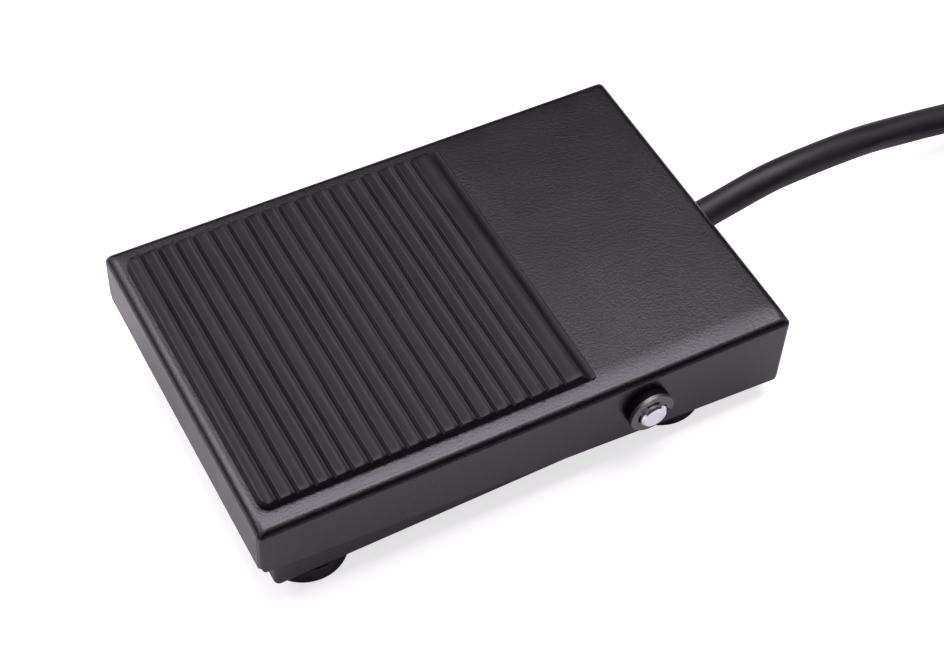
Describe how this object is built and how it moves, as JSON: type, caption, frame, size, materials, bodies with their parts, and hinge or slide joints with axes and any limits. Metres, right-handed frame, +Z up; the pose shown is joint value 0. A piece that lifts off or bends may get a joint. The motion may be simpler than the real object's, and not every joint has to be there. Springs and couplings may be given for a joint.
{
  "type": "foot switch",
  "caption": "Low pedal foot switch: a sprung steel cover with a ribbed rubber mat tips on a cross shaft and works a snap switch, with a black lead.",
  "frame": {"origin": "on the floor under the middle of the switch's own box, without the lead", "axes": "+X from the ribbed toe end to the end that the lead leaves, +Z up, so +Y is the far side in the picture"},
  "size_m": [0.2486, 0.1112, 0.0259],
  "materials": {
    "cover_paint": "black satin powder coat with a fine texture",
    "tray_paint": "black satin powder coat",
    "mat_rubber": "moulded black rubber, slight sheen",
    "foot_rubber": "soft black rubber",
    "zinc_steel": "bright zinc plated steel",
    "black_spring_steel": "black oxide spring steel",
    "black_nylon": "black nylon",
    "spring_steel": "plain spring steel",
    "switch_plastic": "moulded black thermoset",
    "plunger_plastic": "red nylon",
    "tinned_brass": "tinned brass",
    "aluminium_rivet": "bare aluminium",
    "fibre_sheet": "pressed insulating fibre",
    "lead_sheath": "black soft sheath with a satin sheen",
    "core_brown": "brown insulation",
    "core_blue": "light blue insulation",
    "core_green": "green and yellow insulation",
    "tie_nylon": "black nylon",
    "copper_strand": "twisted copper strands"
  },
  "bodies": {
    "base": {"base_tray": "tray_paint", "foot_front_near": "foot_rubber", "foot_front_far": "foot_rubber", "foot_rear_near": "foot_rubber", "foot_rear_far": "foot_rubber", "foot_screws": "zinc_steel", "foot_nuts": "zinc_steel", "pivot_shaft": "zinc_steel", "retaining_clip_near": "black_spring_steel", "retaining_clip_far": "black_spring_steel", "return_spring": "spring_steel", "spring_seat": "zinc_steel", "switch_body": "switch_plastic", "lever_pin": "zinc_steel", "terminal_common": "tinned_brass", "terminal_open": "tinned_brass", "terminal_closed": "tinned_brass", "switch_bracket": "zinc_steel", "bracket_rivets": "aluminium_rivet", "switch_screws": "zinc_steel", "switch_nuts": "zinc_steel", "insulator_sheet": "fibre_sheet", "cable_grommet": "foot_rubber", "cord_inside": "lead_sheath", "clamp_block": "black_nylon", "clamp_strap": "black_nylon", "clamp_screws": "zinc_steel", "earth_tag": "tinned_brass", "earth_screw": "zinc_steel", "wire_common": "core_brown", "wire_open": "core_blue", "wire_earth": "core_green", "cord_lead": "lead_sheath", "cord_coil": "lead_sheath", "cord_tail": "lead_sheath", "coil_tie": "tie_nylon", "lead_core_live": "core_brown", "lead_core_neutral": "core_blue", "lead_core_earth": "core_green", "core_tips": "copper_strand"},
    "pedal": {"pedal_cover": "cover_paint", "tread_mat": "mat_rubber", "bush_near": "black_nylon", "bush_far": "black_nylon", "spring_stud": "zinc_steel"},
    "lever": {"switch_lever": "spring_steel"},
    "plunger": {"switch_plunger": "plunger_plastic"}
  },
  "joints": [
    {"name": "pedal_hinge", "type": "hinge", "parent": "base", "child": "pedal", "pos_m": [0.02155, 0, 0.0137], "axis": [0, -1, 0], "range_deg": [0, 3.5], "stiffness_Nm_per_rad": 4, "springref_deg": -3.44, "deforming": ["return_spring"]},
    {"name": "lever_hinge", "type": "hinge", "parent": "base", "child": "lever", "pos_m": [0.00975, 0, 0.0192], "axis": [0, -1, 0], "range_deg": [0, 6.1]},
    {"name": "plunger_slide", "type": "slide", "parent": "base", "child": "plunger", "axis": [0, 0, -1], "range_m": [0, 0.0007]}
  ],
  "couplings": [
    {"joint": "lever_hinge", "follows": "pedal_hinge", "ratio": 1.7},
    {"joint": "plunger_slide", "follows": "pedal_hinge", "m_per_rad": 0.00969}
  ]
}
